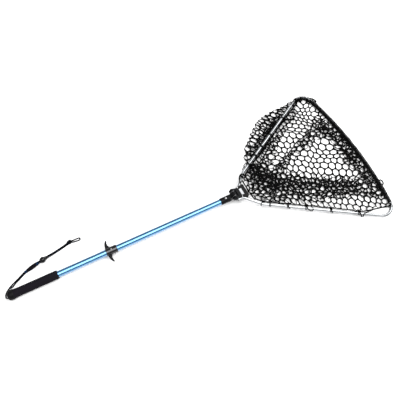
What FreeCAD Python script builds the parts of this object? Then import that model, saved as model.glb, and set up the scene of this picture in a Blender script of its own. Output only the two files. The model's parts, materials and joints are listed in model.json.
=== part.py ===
import FreeCAD, Part
import math
import os
import re

import Sketcher
from FreeCAD import Placement, Rotation, Vector

# Folding triangular landing net. Millimetres, +Z up. The net lies on a floor at z = 0, its handle along X
# with the head towards +X, and the origin is on that floor at the middle of the net's footprint.
#
# Three local frames carry the pieces:
#   tube frame   on the handle tube's axis, below the hinge pin, X along the handle
#   head frame   on the hinge pin's axis, X along the head
#   floor frame  the model's own frame
# The net lies like a very low roof: the handle's butt and the head's front bar touch the floor, and the
# hinge stands a little above it.

os.makedirs("parts", exist_ok=True)
doc = FreeCAD.newDocument("landing_net")

# ---------------------------------------------------------------- driving dimensions

DIMENSIONS = {
    # handle, measured from the hinge pin back along the tube
    "tube_radius": 10.0,
    "tube_bore": 8.8,
    "butt_end": 757.0,
    "cap_depth": 10.0,
    "cap_length": 18.0,
    "cap_radius": 15.5,
    "cap_round": 8.0,
    "cord_hole_radius": 2.4,
    "cord_hole_aside": 6.5,
    "grip_radius": 13.4,
    "grip_front": 606.0,
    "ferrule_radius": 11.5,
    "ferrule_back": 50.0,
    "ferrule_front": 16.0,
    "tube_front": 20.0,
    "plug_back": 48.0,
    "rivet_place": 30.0,
    "rivet_radius": 2.0,
    "rivet_head": 3.5,
    # hinge
    "pin_rise": 13.0,
    "pin_radius": 3.0,
    "pin_head": 6.0,
    "tongue_half": 8.0,
    "tongue_disc": 9.5,
    "cheek_inner": 9.0,
    "cheek_outer": 17.0,
    "cheek_disc": 10.0,
    "slot_end": 12.0,
    "running_gap": 0.05,
    "side_gap": 0.3,
    "nut_reach": 22.0,
    "nut_radius": 5.6,
    # yoke block that clamps the hoop's two ends
    "yoke_front": 48.0,
    "yoke_front_half": 25.0,
    "plate_back_half": 15.0,
    "plate_front_half": 21.0,
    "yoke_top": 0.0,
    "yoke_split": 10.0,
    "yoke_bottom": 17.0,
    "screw_radius": 1.5,
    "screw_head": 2.8,
    "badge_place": 30.0,
    "badge_length": 23.0,
    "badge_width": 9.0,
    "badge_depth": 0.8,
    # hoop, in its own plane
    "hoop_radius": 5.0,
    "hoop_bore": 3.8,
    "hoop_end": 8.0,
    "hoop_rivet_place": 24.0,
    "hoop_root_half": 19.0,
    "shoulder_start": 30.0,
    "shoulder_end": 78.0,
    "arm_apex": 40.0,
    "arm_angle": 30.0,
    "corner_radius": 43.0,
    "front_reach": 523.0,
    "front_bow_radius": 1231.5,
    "sleeve_radius": 6.0,
    # sliding collar with its two flukes
    "collar_back": 452.0,
    "collar_front": 417.0,
    "collar_radius": 12.5,
    "liner_radius": 11.2,
    "liner_gap": 0.06,
    "fluke_reach": 37.5,
    "fluke_thickness": 5.0,
    # net
    "rim_offset": 9.5,
    "rim_cord_radius": 2.0,
    "tie_radius": 1.1,
    "bag_offset": 14.2,
    "bag_wall": 1.5,
    "fold_height": 4.0,
    # wrist cord
    "cord_radius": 2.0,
    "pair_half": 2.15,
    "bead_radius": 9.5,
    "knot_half_length": 9.0,
    "knot_half_width": 7.5,
    "knot_half_height": 6.5,
    # how the net lies
    "handle_tilt": 1.2,
    "hinge_x": 114.54,
}

sheet = doc.addObject("Spreadsheet::Sheet", "dims")
for row, (alias, value) in enumerate(DIMENSIONS.items(), start=1):
    sheet.set("A%d" % row, alias)
    sheet.set("B%d" % row, repr(value))
    sheet.setAlias("B%d" % row, alias)
doc.recompute()


def size(alias):
    """The number in the sheet under this name."""
    return float(getattr(sheet, alias))


def cells(text):
    """An expression in the sheet's names, such as 'tube_radius + 2'."""
    return re.sub(r"[a-z][a-z_]+", lambda word: "dims." + word.group(0), text)


# ---------------------------------------------------------------- frames

def lying_heights():
    """Height of the hinge pin above the floor and tilt of the head, from what touches the floor."""
    tilt = math.radians(size("handle_tilt"))
    drop = (size("pin_rise") + size("cap_radius")) * math.cos(tilt)
    pin_height = drop + (size("butt_end") - size("cap_round")) * math.sin(tilt)
    head_tilt = 0.0
    for _ in range(30):
        rest = pin_height - size("sleeve_radius") - size("yoke_split") * math.cos(head_tilt)
        head_tilt = math.asin(rest / size("front_reach"))
    return pin_height, math.degrees(head_tilt)


PIN_HEIGHT, HEAD_TILT = lying_heights()
SIDEWAYS = Vector(0, 1, 0)
PIN = Vector(size("hinge_x"), 0, PIN_HEIGHT)
HANDLE_FRAME = Placement(PIN, Rotation(SIDEWAYS, -size("handle_tilt")))
TUBE_FRAME = HANDLE_FRAME.multiply(Placement(Vector(0, 0, -size("pin_rise")), Rotation()))
HEAD_FRAME = Placement(PIN, Rotation(SIDEWAYS, HEAD_TILT))
FLOOR_FRAME = Placement()


# ---------------------------------------------------------------- modelling helpers

NODES = []


def keep(item, label, frame):
    """Give a finished sub-part its name and its place."""
    item.Label = label
    item.Placement = frame
    NODES.append(item)
    return item


def origin_plane(body, role):
    return [plane for plane in body.Origin.OriginFeatures if plane.Role == role][0]


def new_sketch(body, name, role, offset=None):
    """A sketch on one of the body's own planes, lifted off it by an expression if one is given."""
    sketch = body.newObject("Sketcher::SketchObject", name)
    sketch.AttachmentSupport = [(origin_plane(body, role), "")]
    sketch.MapMode = "FlatFace"
    if offset:
        sketch.setExpression("AttachmentOffset.Base.z", cells(offset))
    return sketch


def hold_point(sketch, geometry, position, place):
    """Fix one point of a sketch by two distances from the origin, both bound to the sheet."""
    for kind, text in zip(("DistanceX", "DistanceY"), place):
        number = sketch.addConstraint(Sketcher.Constraint(kind, -1, 1, geometry, position, 1.0))
        sketch.setExpression("Constraints[%d]" % number, cells(text))


def draw_polygon(sketch, corners):
    """A closed outline through corners, each a pair of expressions."""
    count = len(corners)
    first = sketch.GeometryCount
    start = [Vector(10 * math.cos(2 * math.pi * i / count), 10 * math.sin(2 * math.pi * i / count), 0)
             for i in range(count)]
    for i in range(count):
        sketch.addGeometry(Part.LineSegment(start[i], start[(i + 1) % count]), False)
    for i in range(count):
        following = first + (i + 1) % count
        sketch.addConstraint(Sketcher.Constraint("Coincident", first + i, 2, following, 1))
    for i, corner in enumerate(corners):
        hold_point(sketch, first + i, 1, corner)


def draw_circle(sketch, centre, radius):
    circle = sketch.addGeometry(Part.Circle(Vector(1, 1, 0), Vector(0, 0, 1), 5.0), False)
    number = sketch.addConstraint(Sketcher.Constraint("Radius", circle, 5.0))
    sketch.setExpression("Constraints[%d]" % number, cells(radius))
    hold_point(sketch, circle, 3, centre)


def new_body(name):
    return doc.addObject("PartDesign::Body", name)


def revolve(body, name, corners):
    """Turn an outline of (place along X, radius) about the X axis."""
    sketch = new_sketch(body, name + "_outline", "XZ_Plane")
    draw_polygon(sketch, corners)
    feature = body.newObject("PartDesign::Revolution", name)
    feature.Profile = sketch
    feature.ReferenceAxis = (sketch, ["H_Axis"])
    feature.Angle = 360.0
    return feature


def pad(body, name, sketch, length, both_sides=False, reverse=False):
    feature = body.newObject("PartDesign::Pad", name)
    feature.Profile = sketch
    feature.setExpression("Length", cells(length))
    feature.Midplane = both_sides
    feature.Reversed = reverse
    return feature


def pocket(body, name, sketch, length=None, both_sides=False, reverse=False):
    """Cut an outline to a depth, or right through, and check that it took something away."""
    doc.recompute()
    before = body.Shape.Volume
    feature = body.newObject("PartDesign::Pocket", name)
    feature.Profile = sketch
    if length is None:
        feature.Type = "ThroughAll"
    else:
        feature.setExpression("Length", cells(length))
    feature.Midplane = both_sides
    feature.Reversed = reverse
    doc.recompute()
    if body.Shape.Volume > before - 0.01:
        raise RuntimeError("%s cuts nothing" % name)
    return feature


def round_hole(body, name, role, centre, radius, offset=None, **options):
    sketch = new_sketch(body, name + "_circle", role, offset)
    draw_circle(sketch, centre, radius)
    return pocket(body, name, sketch, **options)


def cut(name, base, tool):
    feature = doc.addObject("Part::Cut", name)
    feature.Base = base
    feature.Tool = tool
    return feature


def computed(name, shape):
    feature = doc.addObject("Part::Feature", name)
    feature.Shape = shape
    return feature


def fillet_edges(body, name, radius, wanted):
    """Round the edges of the body for which wanted(edge) is true."""
    doc.recompute()
    names = ["Edge%d" % (i + 1) for i, edge in enumerate(body.Shape.Edges) if wanted(edge)]
    feature = body.newObject("PartDesign::Fillet", name)
    feature.Base = (body.Tip, names)
    feature.Radius = radius
    doc.recompute()
    return feature


# ---------------------------------------------------------------- routes of tubes and cords

def rounded_route(points, radii=None):
    """A wire of straight runs joined by tangent arcs, and the arcs' radii. An arc takes 0.45 of its
    shorter run unless radii names one for that point."""
    points = [Vector(*point) for point in points]
    radii = radii or {}
    edges = []
    used = []
    start = points[0]
    for i in range(1, len(points) - 1):
        back = points[i - 1] - points[i]
        ahead = points[i + 1] - points[i]
        half_turn = (math.pi - back.getAngle(ahead)) / 2
        cut_back = 0.45 * min(back.Length, ahead.Length)
        radius = radii.get(i, cut_back / math.tan(half_turn))
        cut_back = radius * math.tan(half_turn)
        back.normalize()
        ahead.normalize()
        first = points[i] + back * cut_back
        last = points[i] + ahead * cut_back
        inward = back + ahead
        inward.normalize()
        centre = points[i] + inward * (radius / math.cos(half_turn))
        middle = centre - inward * radius
        edges.append(Part.LineSegment(start, first).toShape())
        edges.append(Part.Arc(first, middle, last).toShape())
        used.append(radius)
        start = last
    edges.append(Part.LineSegment(start, points[-1]).toShape())
    return Part.Wire(edges), used


def tube_along(wire, radius):
    """A round solid of this radius along a wire of lines and arcs."""
    start = wire.OrderedVertexes[0].Point
    edge = wire.OrderedEdges[0]
    direction = edge.tangentAt(edge.FirstParameter)
    if (start - edge.valueAt(edge.FirstParameter)).Length > 1e-6:
        direction = edge.tangentAt(edge.LastParameter)
    disc = Part.Face(Part.Wire([Part.Circle(start, direction, radius).toShape()]))
    pipe = wire.makePipe(disc)
    return pipe if pipe.ShapeType == "Solid" else pipe.Solids[0]


def hoop_outline(offset=0.0, to_shoulder=True):
    """The hoop's centre line in the head frame, moved inwards by offset: root, shoulder, straight arm,
    rounded corner and bowed front, then the same mirrored. Gives the edges in order."""
    level = -size("yoke_split")
    angle = math.radians(size("arm_angle"))
    along = Vector(math.cos(angle), math.sin(angle), 0)
    inward = Vector(math.sin(angle), -math.cos(angle), 0)
    bow = size("front_bow_radius") - offset
    bow_centre = Vector(size("front_reach") - size("front_bow_radius"), 0, level)
    corner = size("corner_radius") - offset
    # the corner's centre stands off the arm by its radius and off the front's centre by the difference
    arm_point = Vector(-size("arm_apex"), 0, level) + inward * offset
    stand = arm_point + inward * corner
    gap = bow - corner
    to_stand = stand - bow_centre
    half = to_stand.dot(along)
    reach = -half + math.sqrt(half * half - to_stand.dot(to_stand) + gap * gap)
    corner_centre = stand + along * reach
    arm_end = corner_centre - inward * corner
    outward = corner_centre - bow_centre
    outward.normalize()
    front_end = corner_centre + outward * corner
    middle = (outward - inward)
    middle.normalize()
    corner_mid = corner_centre + middle * corner
    front_mid = bow_centre + Vector(bow, 0, 0)
    if to_shoulder:
        root = Vector(size("hoop_end"), size("hoop_root_half"), level)
        bend = Vector(size("shoulder_start"), size("hoop_root_half"), level)
        shoulder_x = size("shoulder_end")
        shoulder = Vector(shoulder_x, (shoulder_x + size("arm_apex")) * math.tan(angle), level)
        run, _ = rounded_route([root, bend, shoulder, arm_end], {1: 22.0, 2: 50.0})
        edges = run.OrderedEdges
    else:
        # the inner lines close across the throat with a straight bar
        throat = size("shoulder_end") + 4.0
        start = Vector(throat, (throat - arm_point.x) * math.tan(angle) + arm_point.y, level)
        edges = [Part.LineSegment(start, arm_end).toShape()]
    edges.append(Part.Arc(arm_end, corner_mid, front_end).toShape())
    mirrored = []
    for edge in edges:
        mirrored.append(edge.mirror(Vector(0, 0, 0), SIDEWAYS))
    front = Part.Arc(front_end, front_mid, Vector(front_end.x, -front_end.y, level)).toShape()
    return edges, front, mirrored[::-1]


# ---------------------------------------------------------------- handle

def make_handle_tube():
    body = new_body("handle_tube")
    back = "cap_depth - butt_end"
    revolve(body, "tube_wall", [(back, "tube_bore"), ("-tube_front", "tube_bore"),
                                ("-tube_front", "tube_radius"), (back, "tube_radius")])
    round_hole(body, "rivet_hole", "XY_Plane", ("-rivet_place", "0 * rivet_place"), "rivet_radius",
               both_sides=True)
    keep(body, "handle_tube", TUBE_FRAME)


def make_butt_cap():
    """The rounded cap. The wrist cord enters it through a hole in its end and one in its left side."""
    body = new_body("butt_cap")
    revolve(body, "cap_shell", [
        ("-butt_end", "0 * cap_radius"), ("-butt_end", "cap_radius - 5"),
        ("2 - butt_end", "cap_radius - 2.2"), ("5 - butt_end", "cap_radius - 0.5"),
        ("cap_round - butt_end", "cap_radius"), ("cap_length - butt_end - 2", "cap_radius"),
        ("cap_length - butt_end", "cap_radius - 1"), ("cap_length - butt_end", "tube_radius"),
        ("cap_depth - butt_end", "tube_radius"), ("cap_depth - butt_end", "tube_bore"),
        ("cap_length + 6 - butt_end", "tube_bore"), ("cap_length + 6 - butt_end", "0 * cap_radius")])
    round_hole(body, "side_hole", "XZ_Plane", ("cap_depth / 2 + 0.5 - butt_end", "0 * cap_radius"),
               "cord_hole_radius", offset="cord_hole_aside")
    round_hole(body, "end_hole", "YZ_Plane", ("-cord_hole_aside", "0 * cap_radius"), "cord_hole_radius",
               offset="-butt_end", length="cap_depth", reverse=True)
    keep(body, "butt_cap", TUBE_FRAME)


def make_grip():
    body = new_body("grip_sleeve")
    back = "cap_length - butt_end"
    revolve(body, "foam", [
        (back, "tube_radius"), (back, "grip_radius + 0.9"),
        ("cap_length + 6 - butt_end", "grip_radius + 0.5"),
        ("cap_length + 16 - butt_end", "grip_radius"), ("-grip_front - 4", "grip_radius"),
        ("-grip_front - 1", "grip_radius - 0.8"), ("-grip_front", "grip_radius - 2"),
        ("-grip_front", "tube_radius")])
    keep(body, "grip_sleeve", TUBE_FRAME)


def make_tube_plug():
    body = new_body("tube_plug")
    revolve(body, "plug", [("-plug_back", "0 * tube_bore"), ("-plug_back", "tube_bore - running_gap"),
                           ("-tube_front", "tube_bore - running_gap"), ("-tube_front", "0 * tube_bore")])
    round_hole(body, "rivet_hole", "XY_Plane", ("-rivet_place", "0 * rivet_place"), "rivet_radius",
               both_sides=True)
    keep(body, "tube_plug", TUBE_FRAME)


def make_ferrule():
    """The sleeve over the tube's end, with the tongue that the hinge pin goes through. The tongue's lower
    front edge is the heel that the opened head rests against."""
    body = new_body("hinge_ferrule")
    revolve(body, "socket", [
        ("-ferrule_back", "tube_radius"), ("-ferrule_back", "ferrule_radius - 0.5"),
        ("1 - ferrule_back", "ferrule_radius"), ("-ferrule_front", "ferrule_radius"),
        ("-ferrule_front", "0 * tube_radius"), ("-tube_front", "0 * tube_radius"),
        ("-tube_front", "tube_radius")])
    neck = new_sketch(body, "neck_outline", "XZ_Plane")
    draw_polygon(neck, [
        ("-ferrule_front - 1", "1 - ferrule_radius"), ("6 - ferrule_front", "1 - ferrule_radius"),
        ("slot_end - 10", "pin_rise - 9.7"), ("slot_end - 0.85", "pin_rise - 9.7"),
        ("slot_end - 0.43", "pin_rise - 4"), ("slot_end - 4", "pin_rise"),
        ("-tongue_disc + 1", "pin_rise"), ("-ferrule_front + 3", "ferrule_radius - 1"),
        ("-ferrule_front - 1", "ferrule_radius - 1")])
    pad(body, "neck", neck, "2 * tongue_half", both_sides=True)
    disc = new_sketch(body, "disc_outline", "XZ_Plane")
    draw_circle(disc, ("0 * pin_rise", "pin_rise"), "tongue_disc")
    pad(body, "disc", disc, "2 * tongue_half", both_sides=True)
    round_hole(body, "pin_bore", "XZ_Plane", ("0 * pin_rise", "pin_rise"), "pin_radius", both_sides=True)
    round_hole(body, "rivet_hole", "XY_Plane", ("-rivet_place", "0 * rivet_place"), "rivet_radius",
               both_sides=True)
    keep(body, "hinge_ferrule", TUBE_FRAME)


def make_rivet():
    """A solid rivet across the ferrule, the tube and the plug, domed at both ends."""
    body = new_body("ferrule_rivet")
    revolve(body, "rivet", [
        ("-ferrule_radius - 1.1", "0 * rivet_radius"), ("-ferrule_radius - 0.9", "rivet_head - 1"),
        ("-ferrule_radius", "rivet_head"), ("-ferrule_radius", "rivet_radius"),
        ("ferrule_radius", "rivet_radius"), ("ferrule_radius", "rivet_head"),
        ("ferrule_radius + 0.9", "rivet_head - 1"), ("ferrule_radius + 1.1", "0 * rivet_radius")])
    upright = Placement(Vector(-size("rivet_place"), 0, 0), Rotation(SIDEWAYS, -90))
    keep(body, "ferrule_rivet", TUBE_FRAME.multiply(upright))


# ---------------------------------------------------------------- hinge

ACROSS = Placement(Vector(0, 0, 0), Rotation(Vector(0, 0, 1), 90))


def make_hinge_pin():
    """A headed pin, fast in the tongue, on which the yoke's cheeks turn. Its own X is the net's Y."""
    body = new_body("hinge_pin")
    revolve(body, "pin", [
        ("-cheek_outer - 3.2", "0 * pin_radius"), ("-cheek_outer - 3.2", "pin_radius"),
        ("cheek_outer + side_gap", "pin_radius"), ("cheek_outer + side_gap", "pin_head"),
        ("cheek_outer + 2.5", "pin_head - 0.4"), ("cheek_outer + 4.3", "pin_head - 2.2"),
        ("cheek_outer + 5", "0 * pin_radius")])
    keep(body, "hinge_pin", HANDLE_FRAME.multiply(ACROSS))


def make_hinge_nut():
    """The cap nut on the pin's other end: a hexagon with a domed cap."""
    body = new_body("hinge_nut")
    hexagon = new_sketch(body, "hexagon_outline", "YZ_Plane", "-cheek_outer - side_gap")
    corners = []
    for step in range(6):
        turn = math.radians(60 * step)
        corners.append(("%.6f * nut_radius" % math.cos(turn), "%.6f * nut_radius" % math.sin(turn)))
    draw_polygon(hexagon, corners)
    pad(body, "hexagon", hexagon, "3.0 + 0 * nut_radius", reverse=True)
    revolve(body, "dome", [
        ("-cheek_outer - side_gap - 2.5", "0 * nut_radius"),
        ("-cheek_outer - side_gap - 2.5", "nut_radius - 1"),
        ("-nut_reach + 1.6", "nut_radius - 1"), ("-nut_reach + 0.4", "nut_radius - 2"),
        ("-nut_reach", "nut_radius - 4"), ("-nut_reach", "0 * nut_radius")])
    bore = new_sketch(body, "bore_outline", "YZ_Plane", "-cheek_outer - side_gap")
    draw_circle(bore, ("0 * nut_radius", "0 * nut_radius"), "pin_radius")
    pocket(body, "bore", bore, "3.2 - side_gap")
    keep(body, "hinge_nut", HANDLE_FRAME.multiply(ACROSS))


def make_friction_washers():
    """Two plain washers beside the tongue, which hold the head where it is put."""
    rings = []
    for side in ("left", "right"):
        outer = doc.addObject("Part::Cylinder", "washer_" + side)
        outer.setExpression("Radius", cells("tongue_disc - 0.5"))
        outer.setExpression("Height", cells("cheek_inner - tongue_half - 0.1"))
        inner = doc.addObject("Part::Cylinder", "washer_bore_" + side)
        inner.setExpression("Radius", cells("pin_radius + running_gap"))
        inner.Height = 10.0
        ring = cut("washer_ring_" + side, outer, inner)
        turn = Rotation(Vector(1, 0, 0), -90 if side == "left" else 90)
        away = size("tongue_half") * (1 if side == "left" else -1)
        ring.Placement = Placement(Vector(0, away, 0), turn)
        rings.append(ring)
    pair = doc.addObject("Part::Compound", "friction_washers")
    pair.Links = rings
    keep(pair, "friction_washers", HANDLE_FRAME)


# ---------------------------------------------------------------- yoke

SCREW_PLACES = [("slot_end + 9", "6"), ("yoke_front - 7", "9")]


def both_hands(places):
    """Each place on the left, and again on the right."""
    return [(x, sign + "(" + y + ")") for x, y in places for sign in ("", "-")]


RIVET_PLACES = [("hoop_rivet_place", "hoop_root_half - 1")]


def fan_outline(back_half, front_half):
    """A yoke shell seen from above, wider at its front."""
    return [("slot_end", "-" + back_half), ("yoke_front - 4", "-" + front_half),
            ("yoke_front", "4 - " + front_half), ("yoke_front", front_half + " - 4"),
            ("yoke_front - 4", front_half), ("slot_end", back_half)]


def channelled(body, label):
    """Cut the hoop's channels out of a yoke shell."""
    form = computed(label + "_channels", hoop_solid(size("hoop_radius")))
    feature = cut(label + "_cut", body, form)
    keep(feature, label, HEAD_FRAME)


def hoop_solid(radius):
    left, front, right = hoop_outline()
    return tube_along(Part.Wire(left + [front] + right), radius)


def make_upper_shell():
    """The upper half of the yoke with the two cheeks of the hinge."""
    body = new_body("upper_shell_body")
    block = new_sketch(body, "block_outline", "XY_Plane", "-yoke_split")
    draw_polygon(block, fan_outline("cheek_outer", "yoke_front_half"))
    pad(body, "block", block, "yoke_split - yoke_top")
    lug = new_sketch(body, "lug_outline", "XZ_Plane")
    draw_polygon(lug, [("0 * slot_end", "-cheek_disc"), ("slot_end + 2", "-cheek_disc"),
                       ("slot_end + 2", "0 * slot_end"), ("cheek_disc - 3", "cheek_disc - 3"),
                       ("0 * slot_end", "cheek_disc")])
    pad(body, "lug", lug, "2 * cheek_outer", both_sides=True)
    disc = new_sketch(body, "cheek_outline", "XZ_Plane")
    draw_circle(disc, ("0 * slot_end", "0 * slot_end"), "cheek_disc")
    pad(body, "cheek", disc, "2 * cheek_outer", both_sides=True)
    slot = new_sketch(body, "slot_outline", "XY_Plane")
    draw_polygon(slot, [("-cheek_disc - 1", "-cheek_inner"), ("slot_end", "-cheek_inner"),
                        ("slot_end", "cheek_inner"), ("-cheek_disc - 1", "cheek_inner")])
    pocket(body, "slot", slot, both_sides=True)
    round_hole(body, "pin_bore", "XZ_Plane", ("0 * slot_end", "0 * slot_end"),
               "pin_radius + running_gap", both_sides=True)
    badge = new_sketch(body, "badge_outline", "XY_Plane", "yoke_top")
    half = "badge_width / 2"
    draw_polygon(badge, [("badge_place - " + half, "-badge_length / 2"),
                         ("badge_place + " + half, "-badge_length / 2"),
                         ("badge_place + " + half, "badge_length / 2"),
                         ("badge_place - " + half, "badge_length / 2")])
    pocket(body, "badge_bed", badge, "badge_depth")
    screws = new_sketch(body, "screw_outline", "XY_Plane", "-yoke_split")
    for place in both_hands(SCREW_PLACES):
        draw_circle(screws, place, "screw_radius")
    pocket(body, "screw_holes", screws, "yoke_split - 3", reverse=True)
    rivets = new_sketch(body, "rivet_outline", "XY_Plane")
    for place in both_hands(RIVET_PLACES):
        draw_circle(rivets, place, "screw_radius")
    pocket(body, "rivet_holes", rivets, both_sides=True)
    channelled(body, "yoke_upper_shell")


def make_lower_shell():
    """The clamp plate below, narrower than the upper shell, with sunk screw heads."""
    body = new_body("lower_shell_body")
    block = new_sketch(body, "plate_outline", "XY_Plane", "-yoke_bottom")
    draw_polygon(block, fan_outline("plate_back_half", "plate_front_half"))
    pad(body, "plate", block, "yoke_bottom - yoke_split")
    heads = new_sketch(body, "head_outline", "XY_Plane", "-yoke_bottom")
    for place in both_hands(SCREW_PLACES):
        draw_circle(heads, place, "screw_head + 0.2")
    pocket(body, "head_sinks", heads, "3.2 + 0 * screw_head", reverse=True)
    screws = new_sketch(body, "shank_outline", "XY_Plane")
    for place in both_hands(SCREW_PLACES):
        draw_circle(screws, place, "screw_radius")
    pocket(body, "shank_holes", screws)
    rivets = new_sketch(body, "rivet_outline", "XY_Plane")
    for place in both_hands(RIVET_PLACES):
        draw_circle(rivets, place, "screw_radius")
    pocket(body, "rivet_holes", rivets)
    channelled(body, "yoke_lower_shell")


def make_yoke_screws():
    """Four pan-head screws that pull the two shells together on the hoop."""
    screws = []
    bottom = -size("yoke_bottom")
    radius = size("screw_radius")
    back_place = size("slot_end") + 9.0
    front_place = size("yoke_front") - 7.0
    for along, aside in ((back_place, 6.0), (front_place, 9.0)):
        for side in (1, -1):
            foot = Vector(along, side * aside, bottom + 0.6)
            head = Part.makeCylinder(size("screw_head"), 2.6, foot)
            slot = Part.makeBox(1.0, 9.0, 1.0, foot + Vector(-0.5, -4.5, -0.2))
            shank = Part.makeCylinder(radius, 10.0, foot + Vector(0, 0, 2.6))
            screws.append(head.cut(slot).fuse(shank).removeSplitter())
    item = computed("yoke_screws", Part.makeCompound(screws))
    keep(item, "yoke_screws", HEAD_FRAME)


def make_hoop_rivets():
    """Two rivets through the shells and the hoop's ends."""
    rivets = []
    top = 0.0
    bottom = -size("yoke_bottom")
    for side in (1, -1):
        foot = Vector(size("hoop_rivet_place"), side * (size("hoop_root_half") - 1), bottom - 0.9)
        shank = Part.makeCylinder(size("screw_radius"), top - bottom + 1.8, foot)
        low = Part.makeCone(1.6, 2.4, 0.9, foot)
        high = Part.makeCone(2.4, 1.6, 0.9, foot + Vector(0, 0, top - bottom + 0.9))
        rivets.append(shank.fuse([low, high]).removeSplitter())
    item = computed("hoop_rivets", Part.makeCompound(rivets))
    keep(item, "hoop_rivets", HEAD_FRAME)
    return rivets


def make_badge():
    """A plain light bar let into the yoke's top."""
    body = new_body("yoke_badge")
    outline = new_sketch(body, "bar_outline", "XY_Plane", "-badge_depth")
    half = "badge_width / 2"
    draw_polygon(outline, [("badge_place - " + half, "-badge_length / 2"),
                           ("badge_place + " + half, "-badge_length / 2"),
                           ("badge_place + " + half, "badge_length / 2"),
                           ("badge_place - " + half, "badge_length / 2")])
    pad(body, "bar", outline, "badge_depth")
    keep(body, "yoke_badge", HEAD_FRAME)


# ---------------------------------------------------------------- hoop

def make_hoop(rivets):
    """One bent tube: two straight arms, two rounded corners and a bowed front."""
    outer = hoop_solid(size("hoop_radius"))
    inner = hoop_solid(size("hoop_bore"))
    tube = outer.cut(inner)
    for rivet in rivets:
        tube = tube.cut(rivet)
    item = computed("hoop_tube", tube)
    keep(item, "hoop_tube", HEAD_FRAME)


def make_front_sleeve():
    """Black plastic sleeve over the bowed front of the hoop."""
    _, front, _ = hoop_outline()
    outer = tube_along(Part.Wire([front]), size("sleeve_radius"))
    inner = tube_along(Part.Wire([front]), size("hoop_radius"))
    item = computed("front_sleeve", outer.cut(inner))
    keep(item, "front_sleeve", HEAD_FRAME)


# ---------------------------------------------------------------- collar

def make_collar_liner():
    """A thin friction sleeve that slides on the tube and carries the collar."""
    body = new_body("collar_liner")
    inner = "tube_radius + liner_gap"
    revolve(body, "liner", [
        ("-collar_back - 0.8", inner), ("-collar_back - 0.8", "collar_radius - 0.4"),
        ("-collar_back - 0.1", "collar_radius - 0.4"), ("-collar_back - 0.1", "liner_radius"),
        ("-collar_front", "liner_radius"), ("-collar_front", inner)])
    keep(body, "collar_liner", TUBE_FRAME)


# one fluke: ahead of the collar's back end, and aside from the tube's axis
FLUKE_OUTLINE = [
    ("0.6", "collar_radius - 0.8"), ("1.4", "collar_radius + 2"), ("1.8", "collar_radius + 7"),
    ("3.2", "collar_radius + 13"), ("6.6", "collar_radius + 20"), ("10.4", "fluke_reach"),
    ("13.4", "fluke_reach - 0.6"), ("12.8", "collar_radius + 20"), ("11.2", "collar_radius + 14"),
    ("11.3", "collar_radius + 8"), ("13.6", "collar_radius + 2.4"), ("19.0", "collar_radius - 0.8")]


def make_hook_collar():
    """The collar turns on its liner. Two pointed flukes curve out of its back end, like an anchor's."""
    body = new_body("hook_collar")
    bore = "liner_radius + liner_gap"
    revolve(body, "sleeve", [
        ("-collar_back", bore), ("-collar_back", "collar_radius"),
        ("-collar_front - 1", "collar_radius"), ("-collar_front", "collar_radius - 0.6"),
        ("-collar_front", bore)])
    for side, sign in (("left", ""), ("right", "-")):
        fluke = new_sketch(body, side + "_fluke_outline", "XY_Plane")
        draw_polygon(fluke, [("%s - collar_back" % ahead, sign + "(" + aside + ")")
                             for ahead, aside in FLUKE_OUTLINE])
        pad(body, side + "_fluke", fluke, "fluke_thickness", both_sides=True)
    fillet_edges(body, "soft_flukes", 1.2, is_fluke_rim)
    keep(body, "hook_collar", TUBE_FRAME)


def is_fluke_rim(edge):
    """True for the long outline edges on the flukes' two flat faces."""
    reach = size("collar_radius") + 1.0
    flat = size("fluke_thickness") / 2
    ends = [vertex.Point for vertex in edge.Vertexes]
    return len(ends) == 2 and all(abs(p.y) > reach and abs(abs(p.z) - flat) < 1e-4 for p in ends)


def make_collar_screw():
    """A small screw in the collar that presses on the liner."""
    top = size("collar_radius")
    place = -(size("collar_back") + size("collar_front")) / 2
    head = Part.makeCone(2.4, 1.9, 0.7, Vector(place, 0, top))
    slot = Part.makeBox(5.0, 0.7, 0.5, Vector(place - 2.5, -0.35, top + 0.35))
    item = computed("collar_screw", head.cut(slot))
    keep(item, "collar_screw", TUBE_FRAME)


# ---------------------------------------------------------------- net

def inner_line(offset):
    """The hoop's line moved inwards, from the left throat round the front to the right throat."""
    left, front, right = hoop_outline(offset, to_shoulder=False)
    return Part.Wire(left + [front] + right)


def closed_inner_line(offset):
    """The same line closed by a straight throat."""
    line = inner_line(offset)
    ends = [vertex.Point for vertex in line.OrderedVertexes]
    throat = Part.LineSegment(ends[-1], ends[0]).toShape()
    return Part.Wire(line.OrderedEdges + [throat])


def make_rim_cord():
    """The cord that the mouth of the bag hangs from, just inside the hoop."""
    item = computed("net_rim_cord", tube_along(inner_line(size("rim_offset")), size("rim_cord_radius")))
    keep(item, "net_rim_cord", HEAD_FRAME)


# along X from the hinge pin, on the left arm and on the right
TIE_PLACES = {1: (112.0, 153.0, 195.0, 253.0, 339.0), -1: (98.0, 151.0, 205.0, 280.0, 365.0)}


def tie_loop():
    """One closed loop of thin cord round the hoop and the rim cord, in the YZ plane, rim cord at -Y."""
    thin = size("tie_radius")
    large = size("hoop_radius") + thin + 0.05
    small = size("rim_cord_radius") + thin + 0.05
    apart = size("rim_offset")
    lean = math.asin((large - small) / apart)
    corners = []
    for sign in (1, -1):
        side = Vector(0, -math.sin(lean), sign * math.cos(lean))
        corners.append((side * large, Vector(0, -apart, 0) + side * small))
    (top_hoop, top_cord), (low_hoop, low_cord) = corners
    edges = [Part.LineSegment(top_hoop, top_cord).toShape(),
             Part.Arc(top_cord, Vector(0, -apart - small, 0), low_cord).toShape(),
             Part.LineSegment(low_cord, low_hoop).toShape(),
             Part.Arc(low_hoop, Vector(0, large, 0), top_hoop).toShape()]
    return tube_along(Part.Wire(edges), thin)


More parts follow.
